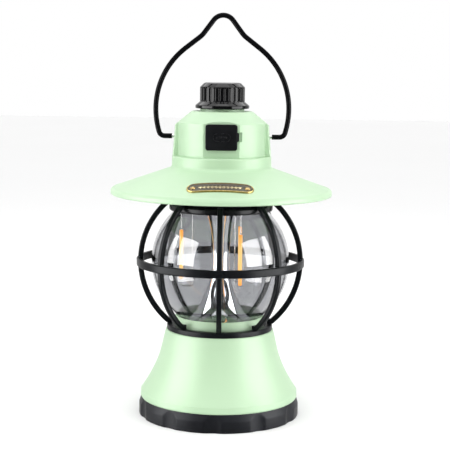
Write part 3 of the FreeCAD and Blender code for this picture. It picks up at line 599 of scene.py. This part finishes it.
# ---- port cover -------------------------------------------------------------------------------------
def port_flap():
    """Rubber flap, rounded all round, with a sealing pad behind and a pull tab."""
    face, back, seal_back = COVER_LOW.y, -25.85, -24.6
    low, high, side, tab = COVER_LOW.z, COVER_HIGH.z, 9.8, COVER_HIGH.x
    points, faces = [], []
    flap = [(-side, low, 1.7), (side, low, 1.7), (side, high, 1.7), (-side, high, 1.7)]
    pad(flap, face, back, 0.6, 0.85, points, faces)
    pull = [(8.4, 176.6, 0.4), (tab, 176.6, 0.9), (tab, 182.2, 0.9), (8.4, 182.2, 0.4)]
    pad(pull, face + 0.4, back, 0.45, 0.3, points, faces)
    seal = [(-6.4, 173.0, 0.8), (7.9, 173.0, 0.8), (7.9, 185.6, 0.8), (-6.4, 185.6, 0.8)]
    pad(seal, back - 0.2, seal_back, 0.1, 0.4, points, faces)
    return mesh_object("port_flap", points, faces, 40)


def port_mark():
    """Raised socket pictogram: a slim ring with a bar in it."""
    face = COVER_LOW.y
    points, faces = [], []
    middle_x, middle_z = 0.3, 179.1
    section = [(0.0, 0.1), (0.0, -0.14), (0.08, -0.24), (0.5, -0.24), (0.58, -0.14), (0.58, 0.1)]
    ring = []
    outline = rounded([(-5.4, -2.6, 2.5), (5.4, -2.6, 2.5), (5.4, 2.6, 2.5), (-5.4, 2.6, 2.5)])
    for by, lift in section:
        y = face + lift
        ring.append([(p.x + middle_x, y, p.y + middle_z) for p in inset(outline, by)])
    stacked(ring + ring[:1], points, faces, False, False)
    bar = [(middle_x - 3.2, middle_z - 0.55, 0.5), (middle_x + 3.2, middle_z - 0.55, 0.5),
           (middle_x + 3.2, middle_z + 0.55, 0.5), (middle_x - 3.2, middle_z + 0.55, 0.5)]
    pad(bar, face - 0.24, face + 0.1, 0.1, 0.05, points, faces)
    made = mesh_object("port_mark", points, faces, 40)
    made.data.materials.append(MARK_GLOSS)
    return made


show(port_flap(), "cover_rubber", "port_cover", body="port_cover")
show(port_mark(), "cover_rubber", body="port_cover")


# ---- nameplate --------------------------------------------------------------------------------------
PLATE_Y = (PLATE_LOW.y + PLATE_HIGH.y) / 2
PLATE_HALF = 14.63              # half length of the straight sides
PLATE_END_R = 5.37


def on_plate(x, y, height):
    """A point above the brim's cone: x and y measured from the plate's middle, height square to the cone."""
    y += PLATE_Y
    r = math.hypot(x, y)
    base = Vector((x, y, BRIM_ROOT[1] - (r - BRIM_ROOT[0]) * math.tan(SLOPE)))
    return base + Vector((x / r * math.sin(SLOPE), y / r * math.sin(SLOPE), math.cos(SLOPE))) * height


def plate_loop(radius, height):
    """A closed line round the plate at one distance from its long axis."""
    loop = []
    for k in range(24):
        loop.append((-PLATE_HALF + 2 * PLATE_HALF * k / 24, -radius))
    for k in range(16):
        a = math.radians(-90 + 180 * k / 16)
        loop.append((PLATE_HALF + radius * math.cos(a), radius * math.sin(a)))
    loop += [(-x, -y) for x, y in loop]
    return [on_plate(x, y, height) for x, y in loop]


def plate():
    """Pressed brass plate with a raised rim."""
    section = [(0.02, 0.0), (PLATE_END_R, 0.0), (PLATE_END_R, 0.78), (5.3, 0.98), (5.15, 1.1), (4.88, 1.1),
               (4.74, 1.0), (4.66, 0.74), (4.5, 0.6), (3.2, 0.58), (1.6, 0.58), (0.02, 0.58)]
    field_r = 4.64              # half width of the field inside the rim
    points, faces = [], []
    stacked([plate_loop(r, h) for r, h in section], points, faces, False, False)
    made = mesh_object("nameplate_plate", points, faces, 40)
    made.data.materials.append(PLATE_RIM)
    made.data.materials.append(LOOKS["nameplate_brass"])
    for face in made.data.polygons:
        local = face.center / MM
        off_end = max(0, abs(local.x) - PLATE_HALF)
        inside = math.hypot(off_end, local.y - PLATE_Y) < field_r
        face.material_index = int(inside and face.normal.z > 0)
    return made


def ornament():
    """A row of raised lozenges and dots along the plate."""
    points, faces = [], []

    def stud(x, half_long, half_wide, corners):
        loops = []
        for scale, height in ((1.0, 0.5), (1.0, 0.72), (0.78, 0.9)):
            loop = []
            for k in range(corners):
                a = 2 * math.pi * k / corners
                along, across = half_long * scale * math.cos(a), half_wide * scale * math.sin(a)
                loop.append(on_plate(x + along, across, height))
            loops.append(loop)
        stacked(loops, points, faces)

    pitch = 2.3
    for k in range(-5, 6):
        stud(k * pitch, 0.95, 2.0 - 0.16 * abs(k), 4)
    for k in range(-6, 6):
        stud((k + 0.5) * pitch, 0.3, 0.3, 10)
    return mesh_object("nameplate_ornament", points, faces, 30)


def rivets():
    """Domed rivet heads at the plate's ends."""
    from_middle = 16.2
    points, faces = [], []
    for side in (-1, 1):
        loops = []
        for r, h in ((1.75, 0.5), (1.75, 0.75), (1.62, 1.0), (1.3, 1.2), (0.8, 1.34), (0.05, 1.4)):
            loop = []
            for k in range(24):
                a = 2 * math.pi * k / 24
                loop.append(on_plate(side * from_middle + r * math.cos(a), r * math.sin(a), h))
            loops.append(loop)
        stacked(loops, points, faces)
    return mesh_object("nameplate_studs", points, faces, 50)


show(plate(), "nameplate_brass", "nameplate")
ornament_piece = ornament()
ornament_piece.data.materials.append(PLATE_GOLD)
show(ornament_piece, "nameplate_brass")
show(rivets(), "rivet_brass", "nameplate_rivets")


# ---- stage ------------------------------------------------------------------------------------------
def flat_material(name, albedo):
    """A matt grey of one tone."""
    dark, light = (albedo,) * 3, (albedo * 1.01,) * 3
    return plain(name, dark, light, (0.7, 0.8), 3, 40, 0.0).material


def floor():
    """Pale floor, hidden from reflection rays: the windows reach below it and are mirrored whole."""
    mesh = bpy.data.meshes.new("floor")
    half = 4.0
    corners = [(-half, -half, 0), (half, -half, 0), (half, half, 0), (-half, half, 0)]
    mesh.from_pydata(corners, [], [(0, 1, 2, 3)])
    obj = bpy.data.objects.new("floor", mesh)
    mesh.materials.append(flat_material("floor_white", 0.94))
    obj.visible_glossy = False
    bpy.context.scene.collection.objects.link(obj)


def softbox(name, azimuth, elevation, distance, size, radiance, aim=(0, 0, 0.11)):
    """A rectangular lamp. azimuth counts from the front (-Y) towards +X; radiance is what a mirror sees."""
    light = bpy.data.lights.new(name, "AREA")
    light.shape = "RECTANGLE"
    light.size, light.size_y = size
    light.energy = radiance * 4 * size[0] * size[1]
    obj = bpy.data.objects.new(name, light)
    az, el = math.radians(azimuth), math.radians(elevation)
    out = Vector((math.sin(az) * math.cos(el), -math.cos(az) * math.cos(el), math.sin(el)))
    obj.location = Vector(aim) + out * distance
    obj.rotation_euler = out.to_track_quat("Z", "Y").to_euler()
    obj.visible_camera = False
    bpy.context.scene.collection.objects.link(obj)
    return obj


def world():
    """Surround, by ray: even for soft light, white to the camera, dark front to light back for the rest."""
    front, back, soft_light, to_camera = 0.12, 0.95, 0.46, 1.0
    made = bpy.data.worlds.new("studio")
    made.use_nodes = True
    tree = made.node_tree
    nodes, links = tree.nodes, tree.links
    background = nodes["Background"]
    background.inputs["Color"].default_value = (1, 1, 1, 1)
    coords = nodes.new("ShaderNodeTexCoord")
    split = nodes.new("ShaderNodeSeparateXYZ")
    links.new(coords.outputs["Generated"], split.inputs[0])
    ramp = nodes.new("ShaderNodeMapRange")
    ramp.interpolation_type = "SMOOTHSTEP"
    ramp.inputs["From Min"].default_value = -0.55
    ramp.inputs["From Max"].default_value = 0.35
    ramp.inputs["To Min"].default_value = front
    ramp.inputs["To Max"].default_value = back
    links.new(split.outputs["Y"], ramp.inputs["Value"])
    path = nodes.new("ShaderNodeLightPath")
    level = ramp.outputs["Result"]
    for ray, value in (("Is Diffuse Ray", soft_light), ("Is Camera Ray", to_camera)):
        pick = nodes.new("ShaderNodeMix")
        links.new(path.outputs[ray], pick.inputs[0])
        links.new(level, pick.inputs[2])
        pick.inputs[3].default_value = value
        level = pick.outputs[0]
    links.new(level, background.inputs["Strength"])
    bpy.context.scene.world = made


def sun(strength, size_deg, elevation, azimuth):
    """Wide soft light; elevation and azimuth as in softbox."""
    light = bpy.data.lights.new("top_light", "SUN")
    light.energy = strength
    light.angle = math.radians(size_deg)
    obj = bpy.data.objects.new("top_light", light)
    az, el = math.radians(azimuth), math.radians(elevation)
    out = Vector((math.sin(az) * math.cos(el), -math.cos(az) * math.cos(el), math.sin(el)))
    obj.rotation_euler = out.to_track_quat("Z", "Y").to_euler()
    bpy.context.scene.collection.objects.link(obj)


def camera():
    """Long lens from the front, level with the raised bail and tilted a little down."""
    data = bpy.data.cameras.new("camera")
    data.lens = 104.0
    data.sensor_width = 36.0
    data.shift_x = 0.0093
    data.clip_end = 50
    obj = bpy.data.objects.new("camera", data)
    turn = Matrix.Rotation(math.radians(0.7), 4, "Z")
    pitch = Matrix.Rotation(math.radians(90 - 7.4), 4, "X")
    roll = Matrix.Rotation(math.radians(0.73), 4, "Z")
    obj.matrix_world = turn @ Matrix.Translation((0, -0.820, 0.2284)) @ pitch @ roll
    bpy.context.scene.collection.objects.link(obj)
    bpy.context.scene.camera = obj


floor()
world()
# The camera sees no softbox. Fills and rims give soft light and stay out of gloss and glass;
# windows and overhead show in gloss and glass and give no soft light.
for side, name in ((-1, "left"), (1, "right")):
    fill = softbox(f"fill_{name}", side * 68, 17, 0.70, (0.66, 0.60), 1.0, (0, 0, 0.1))
    rim = softbox(f"rim_{name}", side * 128, 12, 0.80, (0.55, 0.50), 1.2, (0, 0, 0.12))
    for lamp in (fill, rim):
        lamp.visible_glossy = False
        lamp.visible_transmission = False
    window = softbox(f"window_{name}", side * 68, 6, 0.45, (0.43, 0.53), 8.0, (0, 0, 0.1))
    window.visible_diffuse = False
    window.visible_volume_scatter = False
overhead = softbox("overhead", 180, 66, 1.1, (1.6, 1.4), 2.1, (0, 0, 0.15))
overhead.visible_diffuse = False
sun(1.85, 60, 70, 0)
camera()
bpy.context.scene.view_settings.view_transform = "Standard"
